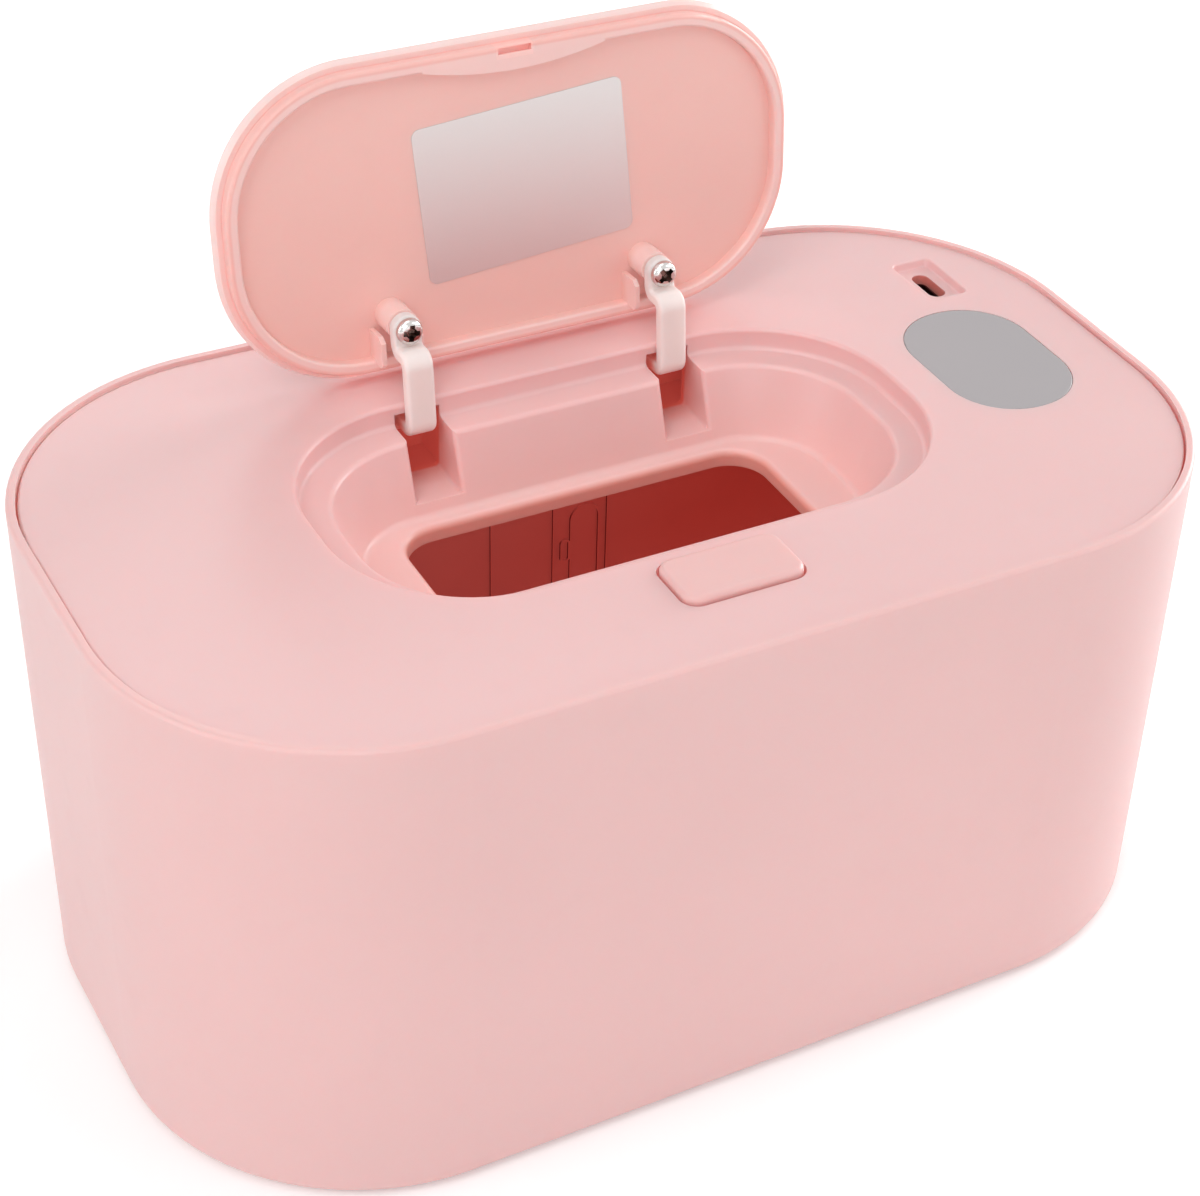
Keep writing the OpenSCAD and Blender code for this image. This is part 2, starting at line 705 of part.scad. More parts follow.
module cover_seal() {
  room = tray_inset - tank_inset - tank_wall - 0.2;
  band = 3.5;
  lip_t = 0.7;
  color([0.85, 0.85, 0.84]) at_top() around(tray) translate([0, -skirt_h - flange_t / 2]) {
    bar(0, -band, room / 2, 0);
    for (z = [0.35, 0.8] * -band) translate([0, z])
      polygon([[0, -lip_t / 2], [room / 2, -lip_t / 2], [room, 0], [room / 2, lip_t / 2], [0, lip_t / 2]]);
  }
}

module cover_screws() {
  color(steel) at_top() for (at = cover_screw_at) translate([at[0], at[1], tray_bottom])
    screw(screw_head_r, screw_head_h, cover_screw_r - bore_fit, cover_screw_l);
}

film_z = tray_bottom - film_t;
heater_hole = inset(opening, -wall_t - 1.6);

module heater_film() {
  color([0.80, 0.50, 0.20]) at_top() difference() {
    slab(inset(spreader, 4), film_z, tray_bottom);
    slab(inset(heater_hole, -2), film_z - cut, tray_bottom + cut);
  }
}

module heat_spreader() {
  color([0.80, 0.81, 0.83]) at_top() difference() {
    slab(spreader, film_z - spreader_t, film_z);
    slab(heater_hole, film_z - spreader_t - cut, film_z + cut);
  }
}

module heater_leads() {
  color([0.80, 0.15, 0.12]) at_top() for (y = lead_at)
    upright([lead_x, y], lead_r, tray_bottom, board_z - board_t);
}

module thermistor() {
  bead_r = 1.6;
  mid = (lead_at[0] + lead_at[1]) / 2;
  color([0.15, 0.15, 0.16]) at_top() {
    for (y = lead_at) upright([lead_x, -y], lead_r / 2, tray_bottom, board_z - board_t);
    translate([lead_x, -mid, tray_top + 0.2]) rotate_extrude() {
      square([bead_r, bead_r]);
      intersection() {
        translate([0, bead_r]) circle(bead_r);
        translate([0, bead_r]) square(bead_r);
      }
    }
  }
}

// Electronics

module control_board() {
  room = inset(tray, tray_wall + 0.6);
  color([0.10, 0.38, 0.22]) at_top() {
    difference() {
      intersection() {
        union() {
          block([window_x - board_in, -board_half, board_z - board_t],
                [window_x + board_out, board_half, board_z]);
          block([inlet_x - inlet_l * 0.7, 0, board_z - board_t],
                [inlet_x + inlet_l * 0.65, inlet_y + 6, board_z]);
        }
        slab(room, board_z - board_t - cut, board_z + cut);
      }
      for (at = board_post_at) upright(at, post_hole_r + 0.15, board_z - board_t - cut, board_z + cut);
    }
    translate([window_x + 2, 8, 0]) block([-3, -3, board_z - board_t - 1.2], [3, 3, board_z - board_t]);
    for (x = [-4, 6], y = [-12, -6]) translate([window_x + x, y, 0])
      block([-1.6, -0.8, board_z - board_t - 0.8], [1.6, 0.8, board_z - board_t]);
  }
}

module board_screws() {
  color(steel) at_top() for (at = board_post_at) translate([at[0], at[1], board_z - board_t])
    screw(2 * post_hole_r, 1.2, post_hole_r - bore_fit, board_t + post_screw_l);
}

module usb_socket() {
  mouth_z = -inlet_d - inlet_hole_d + 0.4;
  color(steel) at_top() translate([inlet_x, inlet_y, 0]) {
    difference() {
      slab(socket, board_z, mouth_z);
      slab(inset(socket, 0.35), board_z + 1.5, mouth_z + cut);
    }
    block([-0.35, -3.3, board_z + 1], [0.35, 3.3, mouth_z - 1]);
    block([-2.6, -4.9, board_z], [-1.2, 4.9, board_z + 2.6]);
    block([1.2, -4.9, board_z], [2.6, 4.9, board_z + 2.6]);
  }
}

module led_display() {
  low = [display_l, display_w, 0] / 2;
  high = low - [screen_edge, screen_edge, 0];
  color([0.12, 0.12, 0.13]) at_top() translate([window_x, display_y, 0]) {
    block([0, 0, board_z] - low, [0, 0, -skin_t - 0.9] + low);
    block([0, 0, -skin_t - 1] - high, [0, 0, -skin_t - 0.5] + high);
  }
}

module touch_spring() {
  wire = 0.5;
  color(steel) at_top() {
    translate([touch_at[0], touch_at[1], board_z + wire / 2 + 0.4])
      coil(1.8, wire, 5, board_d - window_t - wire - 0.5);
    upright(touch_at, 2, board_z, board_z + wire);
  }
}

module display_window() {
  color([0.69, 0.69, 0.69]) at_top() translate([window_x, 0, 0]) difference() {
    slab(window, -window_t, 0);
    round_outer(window, 0.2, 0);
  }
}

// Hinge

module hinge_pin(s) {
  color(steel) at_top() mirror([s < 0 ? 1 : 0, 0, 0])
    x_rod(hinge_pin_r, pin_from, pin_to, axis_y, axis_z);
}

module torsion_spring(s) {
  wire = 0.8;
  r = hinge_pin_r + 0.25 + wire / 2;
  start = arm_x + arm_w / 2 + 0.3 + wire / 2;
  length = slot_w / 2 - arm_w / 2 + spring_room - 0.6 - wire;
  color(steel) at_top() mirror([s < 0 ? 1 : 0, 0, 0]) {
    translate([start, axis_y, axis_z]) rotate([0, 90, 0]) mirror([1, 0, 0])
      coil(r, wire, 5.75, length, legs = [r + wire, axis_d - skin_t - 0.1]);
  }
}

// Flip lid

module flip_lid() {
  rim = inset(lid, lid_band);
  rim_edge = 0.6;
  under_cut = 0.7;
  crescent_r = (crescent_half * crescent_half + crescent_rise * crescent_rise) / (2 * crescent_rise);
  rim_in = -rim[1] / 2 + lid_rim_w;
  color(pink) opened() difference() {
    union() {
      slab(inset(lid, lid_band - 0.5), -lid_t, 0);
      around(lid) difference() {
        polygon([[-lid_band, -lid_t], [-under_cut, -lid_t], [0, -edge_r], [0, 0], [-lid_band, 0]]);
        mirror([1, 0]) spare_corner(edge_r);
      }
      around(rim) {
        bar(-lid_rim_w, lid_rim_z + rim_edge, 0, -lid_t / 2);
        bar(rim_edge - lid_rim_w, lid_rim_z, -rim_edge, -lid_t);
        translate([-rim_edge, lid_rim_z + rim_edge]) circle(rim_edge);
        translate([rim_edge - lid_rim_w, lid_rim_z + rim_edge]) circle(rim_edge);
      }
      intersection() {
        upright([0, rim_in + crescent_rise - crescent_r], crescent_r, lid_rim_z, -lid_t / 2, $fn = 360);
        block([-crescent_half, rim_in - rim_edge, lid_rim_z],
              [crescent_half, rim_in + crescent_rise, -lid_t / 2]);
      }
      for (s = [-1, 1]) translate([s * arm_x, screw_y, 0]) {
        translate([0, 0, tab_z]) cylinder(r = boss_r, h = boss_h + lid_t / 2);
        for (t = [-1, 1]) lid_fin(t);
      }
    }
    for (s = [-1, 1]) upright([s * arm_x, screw_y], arm_screw_r + bore_fit, tab_z - cut, -lid_t - 0.4);
    block([-hook_w / 2 - fit, slit_y, lid_rim_z - cut],
          [hook_w / 2 + fit, blade_y + 0.05, hook_z + hook_h + fit]);
    block([-hook_w / 2 - fit, slit_y, hook_z - 0.1],
          [hook_w / 2 + fit, blade_y + hook_out + 0.15, hook_z + hook_h + fit]);
  }
}

// Fin beside the arm's tab, on side t of the boss
module lid_fin(t) {
  fin_t = 1;
  from_x = slot_w / 2 - fit - fin_t;
  back = lid[1] / 2 - lid_band - lid_rim_w - screw_y;
  translate([t > 0 ? from_x : -from_x - fin_t, 0, -lid_t + 0.1]) rotate([90, 0, 90]) linear_extrude(fin_t)
    polygon([[fin_back, 0], [back + 0.5, 0], [back + 0.5, 0.8 - fin_h], [back - 0.3, -fin_h],
             [fin_back + 1, -fin_h], [fin_back, 1.2 - fin_h]]);
}

// Cross-section of an arm
module arm_section() {
  plan([arm_w, arm_t, arm_edge_r]);
}

// Upright run of an arm
module arm_up(y, z0, z1) {
  translate([0, y, z0]) linear_extrude(z1 - z0) arm_section();
}

// Level run of an arm
module arm_level(z, y0, y1) {
  translate([0, y1, z]) rotate([90, 0, 0]) linear_extrude(y1 - y0) arm_section();
}

// Quarter bend of an arm's middle line, round a given middle, from an angle above +Y
module arm_bend(y, z, from) {
  translate([0, y, z]) rotate([90, 0, 90]) rotate([0, 0, from]) rotate_extrude(angle = 90)
    translate([arm_bend_r, 0]) rotate(90) arm_section();
}

// Gooseneck arm: barrel on the hinge axis, foot, leg, shoulder, and the tab under the lid's boss
module hinge_arm(s) {
  b = arm_bend_r;
  tab_mid = tab_z - arm_t / 2;
  color(nylon) opened() difference() {
    translate([s * arm_x, 0, 0]) union() {
      x_rod(barrel_r, -arm_w / 2, arm_w / 2, axis_y, axis_z);
      arm_up(axis_y, leg_z + b, axis_z);
      arm_bend(axis_y - b, leg_z + b, -90);
      arm_level(leg_z, shoulder_y + b, axis_y - b);
      arm_bend(shoulder_y + b, leg_z + b, 180);
      arm_up(shoulder_y, leg_z + b, tab_mid - b);
      arm_bend(shoulder_y - b, tab_mid - b, 0);
      arm_level(tab_mid, screw_y, shoulder_y - b);
      translate([0, screw_y, tab_mid]) rotate_extrude() intersection() {
        arm_section();
        translate([0, -arm_t]) square([arm_w, 2 * arm_t]);
      }
    }
    x_rod(hinge_pin_r + bore_fit, s * arm_x - arm_w, s * arm_x + arm_w, axis_y, axis_z);
    upright([s * arm_x, screw_y], arm_screw_r + 0.15, tab_mid - arm_t, tab_mid + arm_t);
  }
}

module arm_screw(s) {
  color([0.85, 0.85, 0.87]) opened() translate([s * arm_x, screw_y, tab_z - arm_t])
    screw(screw_head_r, screw_head_h, arm_screw_r, arm_t + boss_h - 1);
}

// Release button and latch

module release_button() {
  color(pink) at_top() button_hole() difference() {
    union() {
      slab(button, -skin_t - 0.2, button_proud);
      slab(inset(button, -button_flange), -skin_t - 1.2, -skin_t - 0.1);
      translate([0, press_y + button_y, 0])
        block([-latch_half, -1, lever_top + fit], [latch_half, 1, -skin_t]);
    }
    round_outer(button, button_edge_r, button_proud);
    difference() {
      slab(inset(button, 1.6), -skin_t - 2, button_proud - 1.8);
      translate([0, press_y + button_y, 0]) block([-latch_half, -1, lever_top], [latch_half, 1, 0]);
    }
  }
}

module latch_lever() {
  color(nylon) at_top() difference() {
    union() {
      x_rod(latch_barrel_r, -latch_half, latch_half, latch_y, latch_z);
      block([-latch_half, press_y - 1.8, lever_top - lever_t], [latch_half, latch_y, lever_top]);
      translate([-hook_w / 2, 0, 0]) rotate([90, 0, 90]) linear_extrude(hook_w) {
        bar(blade_y - blade_t, latch_z, blade_y, hook_z + hook_h);
        polygon([[blade_y, hook_z], [blade_y + hook_out, hook_z], [blade_y, hook_z + hook_h]]);
      }
    }
    x_rod(latch_pin_r + bore_fit, -latch_half - cut, latch_half + cut, latch_y, latch_z);
  }
}

module latch_pin() {
  color(steel) at_top() x_rod(latch_pin_r, -latch_half - 1.9, latch_half + 1.9, latch_y, latch_z);
}

module latch_spring() {
  wire = 0.6;
  length = lever_top - lever_t - spring_floor;
  color(steel) at_top() translate([0, press_y + 1.5, spring_floor + wire / 2])
    coil(2.2, wire, 5, length - wire);
}

outer_shell();
inner_tank();
tank_screws();
foot(-1, -1);  // foot_front_left
foot(1, -1);  // foot_front_right
foot(-1, 1);  // foot_back_left
foot(1, 1);  // foot_back_right
top_cover();
under_cover();
cover_seal();
cover_screws();
heater_film();
heat_spreader();
heater_leads();
thermistor();
control_board();
board_screws();
usb_socket();
led_display();
touch_spring();
display_window();
hinge_pin(-1);  // hinge_pin_left
hinge_pin(1);  // hinge_pin_right
torsion_spring(-1);  // torsion_spring_left
torsion_spring(1);  // torsion_spring_right
flip_lid();
hinge_arm(-1);  // hinge_arm_left
hinge_arm(1);  // hinge_arm_right
arm_screw(-1);  // arm_screw_left
arm_screw(1);  // arm_screw_right
release_button();
latch_lever();
latch_pin();
latch_spring();
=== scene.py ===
"""The looks of a baby wipe warmer: a pale pink tub whose sprung lid stands open over its well.

Everything is in metres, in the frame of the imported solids: +X along the tub towards its display,
+Y towards the lid's hinge, +Z up, with the origin under the middle of the tub.
"""

import json
import math

import bmesh
import bpy
from bpy.props import FloatProperty, FloatVectorProperty, PointerProperty
from mathutils import Matrix, Vector


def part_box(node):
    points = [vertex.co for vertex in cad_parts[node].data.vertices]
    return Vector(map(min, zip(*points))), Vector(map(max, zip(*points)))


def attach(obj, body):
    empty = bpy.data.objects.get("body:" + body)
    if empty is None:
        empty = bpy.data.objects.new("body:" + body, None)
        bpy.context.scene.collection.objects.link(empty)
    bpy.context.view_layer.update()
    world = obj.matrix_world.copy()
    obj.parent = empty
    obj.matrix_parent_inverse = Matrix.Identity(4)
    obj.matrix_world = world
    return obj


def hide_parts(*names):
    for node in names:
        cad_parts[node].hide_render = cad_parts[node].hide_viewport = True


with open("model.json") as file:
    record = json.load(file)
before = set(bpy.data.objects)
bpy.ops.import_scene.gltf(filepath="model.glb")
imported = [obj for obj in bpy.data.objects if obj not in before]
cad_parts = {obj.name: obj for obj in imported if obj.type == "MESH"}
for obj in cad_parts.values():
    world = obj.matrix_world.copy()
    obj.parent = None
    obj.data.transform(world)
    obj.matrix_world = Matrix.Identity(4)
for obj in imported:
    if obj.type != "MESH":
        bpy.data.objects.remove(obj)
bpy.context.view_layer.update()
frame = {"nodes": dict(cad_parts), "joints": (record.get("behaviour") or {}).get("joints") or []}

bl_info = {
    "name": "Wipe Warmer",
    "version": (1, 0, 0),
    "blender": (4, 5, 0),
    "location": "3D View > Sidebar > Wipe Warmer",
    "description": "Dresses a wipe warmer's solids with finishes, a sticker, screws and a studio",
    "category": "Object",
}

MM = 0.001
NODES = frame["nodes"]
HINGE = next(j for j in frame["joints"] if j["name"] == "lid_hinge")
HINGE_AT = Vector(HINGE["pos_m"])
OPEN_ANGLE = math.radians(HINGE["range_deg"][1])
OPENED = (  # takes the closed lid to where it stands open
    Matrix.Translation(HINGE_AT)
    @ Matrix.Rotation(-OPEN_ANGLE, 4, "X")
    @ Matrix.Translation(-HINGE_AT)
)
COVER_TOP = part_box("top_cover")[1].z
WELL_DEPTH = 19 * MM
# An outline is a length, a width and a corner radius. Its rim, groove or seam lies inside it.
LID_OUTLINE = (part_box("flip_lid")[1].x * 2, 63.2 * MM, 27.6 * MM)
LID_THICKNESS = 2 * MM
LID_RIM = 4.2 * MM
LID_GROOVE = 2.2 * MM
BODY_OUTLINE = (220 * MM, 130 * MM, 49 * MM)
SEAM = 1.75 * MM
OPENING = (77.4 * MM, 35.6 * MM, 7.8 * MM)
SLIT_AT = -28.7 * MM
SLIT_HALF = 3.6 * MM
RECESS_BACK = 32.2 * MM
POCKET_X = 27.2 * MM
BLACK = (0, 0, 0)
SHADES = (0.985, 1.015, 0.955)  # of a moulding's colour: its drift's two ends and its flow marks
SOFT = {
    "Subsurface_Weight": 0.4,
    "Subsurface_Radius": (1.0, 0.3, 0.25),
    "Subsurface_Scale": 4 * MM,
}
THIN = {**SOFT, "Subsurface_Scale": 2 * MM}
MILKY = {
    "Subsurface_Weight": 0.6,
    "Subsurface_Radius": (1.0, 0.8, 0.75),
    "Subsurface_Scale": 5 * MM,
}
PLASTICS = (  # node, finish, colour, roughness
    ("under_cover", "tray_plastic", (236, 230, 226), 0.42),
    ("cover_seal", "seal_silicone", (222, 218, 214), 0.6),
    ("heater_film", "polyimide", (190, 112, 40), 0.3),
    ("heater_leads", "lead_insulation", (176, 40, 34), 0.5),
    ("thermistor", "sensor_epoxy", (30, 30, 32), 0.3),
    ("control_board", "solder_mask", (24, 92, 58), 0.3),
    ("led_display", "display_housing", (28, 28, 30), 0.35),
)
METALS = (  # finish, colour, roughness, nodes
    ("nickel_plate", (214, 212, 210), 0.16,
     ("tank_screws", "cover_screws", "board_screws", "arm_screw_left", "arm_screw_right")),
    ("socket_shell", (84, 54, 52), 0.35, ("usb_socket",)),
    ("spring_wire", (176, 176, 180), 0.3,
     ("touch_spring", "torsion_spring_left", "torsion_spring_right", "hinge_pin_left",
      "hinge_pin_right", "latch_pin", "latch_spring")),
    ("spreader_sheet", (205, 206, 208), 0.34, ("heat_spreader",)),
)
SCREW_TURNS = {"left": 8, "right": 52}  # degrees that each screw's cross is turned
CROSS_FOOT = (0.55, 0.6)  # length and width of the cross at its bottom, as shares of its top
CROSS_CONE = (0.34, 0.16)  # radii of the cross's cone, as shares of its length
FLOOR_HALF = 3  # half of the floor's side
FLOOR_FADE = (0.25, 1.2)  # distances between which the floor turns to plain white
LAMP_AIM = Vector((0, 0, 0.06))  # the point that every lamp shines at
LAMPS = (  # name, place, size, power
    ("key", (-0.75, -0.55, 1.25), 0.9, 5.8),
    ("top", (-0.1, 0.0, 1.6), 0.9, 3.6),
    ("fill", (1.1, -0.9, 0.8), 1.1, 3.4),
    ("back", (0.2, 1.2, 1.0), 0.9, 1.7),
    ("left", (-1.4, 0.1, 0.6), 0.9, 4.2),
    ("right", (1.4, 0.3, 0.5), 0.9, 13.7),
    ("front", (-0.4, -1.4, 0.6), 0.9, 3.85),
)


def screen_colour(red, green, blue):
    """A colour as seen on a screen, 0 to 255, as the linear colour that a shader takes."""

    def linear(value):
        """One channel, without the screen's curve."""
        share = value / 255
        return share / 12.92 if share <= 0.04045 else ((share + 0.055) / 1.055) ** 2.4

    return linear(red), linear(green), linear(blue)


class Wire:
    """A node's output. Arithmetic on it adds Math nodes."""

    def __init__(self, graph, socket):
        self.graph = graph
        self.socket = socket

    def math(self, operation, *operands):
        """A Math node, on this wire alone where no operands are given."""
        inputs = dict(enumerate(operands or (self,)))
        return self.graph.node("ShaderNodeMath", {"operation": operation}, inputs)

    def __add__(self, other):
        return self.math("ADD", self, other)

    def __radd__(self, other):
        return self.math("ADD", other, self)

    def __sub__(self, other):
        return self.math("SUBTRACT", self, other)

    def __rsub__(self, other):
        return self.math("SUBTRACT", other, self)

    def __mul__(self, other):
        return self.math("MULTIPLY", self, other)


class Graph:
    """A tree of shader nodes that calls put together."""

    def __init__(self, tree):
        self.tree = tree

    def node(self, kind, settings=None, inputs=None, output=0):
        """Adds a node: its settings first, then the values or wires of its sockets."""
        made = self.tree.nodes.new(kind)
        for name, value in (settings or {}).items():
            setattr(made, name, value)
        for socket, value in (inputs or {}).items():
            if isinstance(value, Wire):
                self.tree.links.new(value.socket, made.inputs[socket])
            else:
                made.inputs[socket].default_value = value
        return Wire(self, made.outputs[output])

    def seen(self):
        """1 for the rays of the camera and of reflections, 0 for those that light other things."""
        rays = ("Is Camera Ray", "Is Glossy Ray", "Is Transmission Ray")
        first, second, third = (self.node("ShaderNodeLightPath", output=ray) for ray in rays)
        return first.math("MAXIMUM", first.math("MAXIMUM", first, second), third)


class Finish(Graph):
    """A material that ends in one Principled shader, read in Object coordinates."""

    def __init__(self, name, **constants):
        self.material = bpy.data.materials.new(name)
        self.material.use_nodes = True
        super().__init__(self.material.node_tree)
        self.shader = self.tree.nodes["Principled BSDF"]
        for socket, value in constants.items():
            self.shader.inputs[socket.replace("_", " ")].default_value = value
        self.place = self.node("ShaderNodeTexCoord", output="Object")

    def along(self, axis, place=None):
        """How far a point lies along X, Y or Z."""
        inputs = {"Vector": place or self.place}
        return self.node("ShaderNodeSeparateXYZ", None, inputs, "XYZ".index(axis))

    def closed_lid(self):
        """Where a point of the open lid lies when the lid is closed."""
        inputs = {"Vector": self.place, "Center": HINGE_AT, "Angle": OPEN_ANGLE}
        return self.node("ShaderNodeVectorRotate", {"rotation_type": "X_AXIS"}, inputs)

    def inside(self, outline, place=None):
        """How far a point lies inside a rounded rectangle, up to its corner radius."""
        length, width, radius = outline
        x = self.along("X", place).math("ABSOLUTE") - (length / 2 - radius)
        y = self.along("Y", place).math("ABSOLUTE") - (width / 2 - radius)
        x, y = x.math("MAXIMUM", x, 0), y.math("MAXIMUM", y, 0)
        return radius - (x * x + y * y).math("SQRT")

    def between(self, axis, low, high, soft, place=None):
        """1 where a point lies between two planes across an axis, with soft borders."""
        at = self.along(axis, place)
        return self.spread(at, low - soft, low) * self.spread(at, high + soft, high)

    def over(self, node, margin, soft):
        """1 straight above or below a solid's box, widened by a margin, with soft borders."""
        low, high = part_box(node)
        across = self.between("X", low.x - margin, high.x + margin, soft)
        return across * self.between("Y", low.y - margin, high.y + margin, soft)

    def depth(self, start, end, place=None):
        """Takes the depths from start to end, below the cover's top, to 0 to 1."""
        return self.spread(self.along("Z", place), COVER_TOP - start, COVER_TOP - end)

    def noise(self, size, detail=3, roughness=0.5):
        """Noise from 0 to 1 whose blotches are about the given size in metres."""
        inputs = {"Vector": self.place, "Scale": 1 / size, "Detail": detail, "Roughness": roughness}
        return self.node("ShaderNodeTexNoise", None, inputs, "Fac")

    def spread(self, value, low, high):
        """Takes the part of a value between low and high to 0 to 1."""
        inputs = {"Value": value, "From Min": low, "From Max": high}
        return self.node("ShaderNodeMapRange", None, inputs)

    def blend(self, share, first, second):
        """Mixes two colours."""
        inputs = {"Factor": share, 6: self.colour(first), 7: self.colour(second)}
        return self.node("ShaderNodeMix", {"data_type": "RGBA"}, inputs, 2)

    def colour(self, value):
        """A colour as a socket takes it."""
        return value if isinstance(value, Wire) else (*value, 1)

    def bump(self, height, strength, distance, under=None):
        """A normal that follows a height, over another normal where one is given."""
        inputs = {"Height": height, "Strength": strength, "Distance": distance}
        if under:
            inputs["Normal"] = under
        return self.node("ShaderNodeBump", None, inputs)

    def feed(self, socket, value):
        """Wires a value into the shader."""
        self.tree.links.new(value.socket, self.shader.inputs[socket])


def tint(colour, factor):
    """A lighter or darker shade of a colour."""
    return tuple(min(1, channel * factor) for channel in colour)


def moulded(
    name, colour, roughness=0.42, texture=0.35 * MM, relief=0.012, zones=(), glow=None, **constants
):
    """Moulded plastic: a spark-eroded skin, slow drifts of tone, and a few finer flow marks.

    A zone is another colour and a function that gives its share over the surface; most zones
    here paint shade, bounce light and highlights. A glow is a function that gives painted light:
    an emission that stands in for the light which seeps through thin walls.
    """
    finish = Finish(name, **constants)
    drift = finish.spread(finish.noise(60 * MM, 2), 0.3, 0.7)
    grime = finish.spread(finish.noise(9 * MM, 4, 0.6), 0.55, 0.8)
    low, high, marked = (tint(colour, shade) for shade in SHADES)
    for second, share in zones:
        where = share(finish)
        low, high, marked = (
            finish.blend(where, first, tint(second, shade))
            for first, shade in zip((low, high, marked), SHADES)
        )
    tone = finish.blend(drift, low, high)
    finish.feed("Base Color", finish.blend(grime * 0.35, tone, marked))
    finish.feed("Roughness", roughness - 0.03 + drift * 0.05 + grime * 0.04)
    skin = finish.bump(finish.noise(texture, 2, 0.6), relief * 8, 0.01 * MM)
    finish.feed("Normal", finish.bump(finish.noise(22 * MM, 1), relief * 5, 0.1 * MM, skin))
    if glow:
        finish.shader.inputs["Emission Strength"].default_value = 1
        finish.feed("Emission Color", glow(finish))
    return finish.material


def metal(name, colour, roughness):
    """Plated or drawn metal, a little mottled."""
    finish = Finish(name, Metallic=1)
    drift = finish.noise(1.5 * MM, 3)
    finish.feed("Base Color", finish.blend(drift, tint(colour, 0.94), tint(colour, 1.03)))
    finish.feed("Roughness", roughness + drift * 0.08)
    finish.feed("Normal", finish.bump(finish.noise(0.2 * MM, 2), 0.06, 0.01 * MM))
    return finish.material


def glowing(colour, share):
    """A painted glow: an emission of one colour over a share of the surface, where no lamp is."""
    return lambda finish: finish.blend(share(finish), BLACK, colour)


def paint(material, *nodes):
    """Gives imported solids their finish."""
    for node in nodes:
        slots = NODES[node].data.materials
        slots.clear()
        slots.append(material)


def as_piece(name, mesh, body, material, smooth=True):
    """Turns a bmesh into a piece that rides on a body."""
    data = bpy.data.meshes.new(name)
    mesh.to_mesh(data)
    mesh.free()
    for polygon in data.polygons:
        polygon.use_smooth = smooth
    data.materials.append(material)
    piece = bpy.data.objects.new(name, data)
    bpy.context.scene.collection.objects.link(piece)
    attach(piece, body)
    return piece


def rounded_plate(length, width, radius, thickness):
    """A thin plate with rounded corners, its back face at height 0."""
    mesh = bmesh.new()
    bmesh.ops.create_grid(mesh, x_segments=1, y_segments=1, size=0.5)
    bmesh.ops.scale(mesh, vec=(length, width, 1), verts=mesh.verts)
    bmesh.ops.bevel(
        mesh, geom=mesh.verts[:], offset=radius, affect="VERTICES",
        segments=12, profile=0.5, material=-1,
    )
    made = bmesh.ops.extrude_face_region(mesh, geom=mesh.faces[:])
    raised = [item for item in made["geom"] if isinstance(item, bmesh.types.BMVert)]
    bmesh.ops.translate(mesh, vec=(0, 0, thickness), verts=raised)
    bmesh.ops.recalc_face_normals(mesh, faces=mesh.faces)
    return mesh


def painted_well_light(finish):
    """Share of the painted bounce light, a paler and pinker colour, on the cover: none on its top, all
    on the well's floor.
    """
    return finish.depth(1 * MM, WELL_DEPTH)


def pockets(finish):
    """Share of the painted shade, a deep red, in the two hinge pockets behind the recess's wall."""
    across = finish.along("X").math("ABSOLUTE")
    near = finish.spread(across, POCKET_X + 12 * MM, POCKET_X + 11 * MM)
    inner = finish.spread(across, POCKET_X - 8 * MM, POCKET_X - 7 * MM)
    behind = finish.between("Y", RECESS_BACK + 1 * MM, RECESS_BACK + 20 * MM, 0.8 * MM)
    return near * inner * behind * finish.depth(2.2 * MM, 3.4 * MM)


def slots(finish):
    """Share of the painted shade, a warmer colour, in the two slots for the arms, in front of their
    pockets.
    """
    across = finish.along("X").math("ABSOLUTE")
    inside = finish.spread(across, POCKET_X + 6 * MM, POCKET_X + 5 * MM)
    inside = inside * finish.spread(across, POCKET_X - 6 * MM, POCKET_X - 5 * MM)
    back = finish.spread(finish.along("Y"), RECESS_BACK - 5 * MM, RECESS_BACK + 1 * MM)
    return inside * back * finish.depth(4.8 * MM, 6 * MM)


def opening(finish):
    """Share of the painted shade, a deeper red, on the wall of the opening that wipes are pulled
    through.
    """
    return finish.spread(finish.inside(OPENING), -0.9 * MM, -0.1 * MM)


def painted_socket_hole(finish):
    """Share of the painted shade, a red, on the walls of the hole that the plug goes through; a little
    of the painted glow goes there too.
    """
    return finish.over("usb_socket", 1.5 * MM, 0.4 * MM) * finish.depth(1.75 * MM, 2 * MM)


def button_gap(finish):
    """Share of the painted glow in the gap round the button."""
    return finish.over("release_button", 0.4 * MM, 0.2 * MM) * finish.depth(0.3 * MM, 1.2 * MM)


def seam_band(finish, end, start):
    """Share of a band from the inner side of the tub's rim to a little past the seam."""
    across = finish.inside(BODY_OUTLINE)
    there = finish.spread(across, SEAM - 0.5 * MM, SEAM - 0.2 * MM)
    return there * finish.spread(across, SEAM + end, SEAM + start)


def seam(finish):
    """Share of the painted glow in the gap between the cover and the tub."""
    return seam_band(finish, 1.4 * MM, 0.6 * MM) * finish.depth(0.3 * MM, 1.4 * MM) * 0.7


def back_seam_light(finish):
    """Share of the painted light, a paler colour, in that gap at the back, where the light reaches
    into it.
    """
    there = seam_band(finish, 1.8 * MM, 1 * MM) * finish.spread(finish.along("Y"), 0, 25 * MM)
    return there * finish.depth(0, 0.4 * MM)


def cover_gaps(finish):
    """Share of the painted glow in all the pockets, gaps and holes of the cover."""
    share = pockets(finish) + button_gap(finish) + seam(finish)
    return share + painted_socket_hole(finish) * 0.25


def facing(finish):
    """Share of the painted glow on the tank's flat walls, which its ribs' narrow sides go without;
    those sides take a painted shade instead.
    """
    towards = finish.node("ShaderNodeTexCoord", output="Normal")
    y, z = (finish.along(axis, towards).math("ABSOLUTE") for axis in "YZ")
    flat = finish.spread(y.math("MAXIMUM", y, z), 0.3, 0.9)
    ends = finish.spread(finish.along("X").math("ABSOLUTE"), 54 * MM, 60 * MM)
    return flat.math("MAXIMUM", flat, ends)


